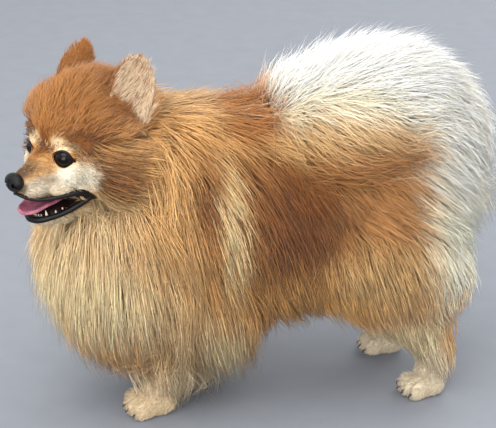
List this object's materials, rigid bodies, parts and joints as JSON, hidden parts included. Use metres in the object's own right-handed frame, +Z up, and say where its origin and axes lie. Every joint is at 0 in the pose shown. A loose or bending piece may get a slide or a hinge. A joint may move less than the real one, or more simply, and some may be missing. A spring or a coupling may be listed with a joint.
{
  "type": "pomeranian",
  "caption": "Life-size still model of a small fluffy spitz-type dog standing on all fours, mouth open, tail curled over its back.",
  "frame": {"origin": "on the floor, under the middle of the dog's bounding box", "axes": "-Y forward (the dog's chest), +X to the dog's left, +Z up"},
  "size_m": [0.1733, 0.3648, 0.274],
  "materials": {
    "coat": "long soft double coat, matte",
    "pale_coat": "long soft pale coat, matte",
    "cream_coat": "short soft coat, matte",
    "nose_skin": "moist grained black skin",
    "eye": "wet dark brown eyeball",
    "tongue": "moist pink"
  },
  "bodies": {
    "root": {"head": "coat", "jaw": "cream_coat", "nose": "nose_skin", "tongue": "tongue", "eye_left": "eye", "eye_right": "eye", "ear_left": "coat", "ear_right": "coat", "neck": "coat", "torso": "coat", "tail": "pale_coat", "leg_front_left": "cream_coat", "leg_front_right": "cream_coat", "leg_hind_left": "coat", "leg_hind_right": "coat", "paw_front_left": "cream_coat", "paw_front_right": "cream_coat", "paw_hind_left": "cream_coat", "paw_hind_right": "cream_coat"}
  },
  "joints": []
}
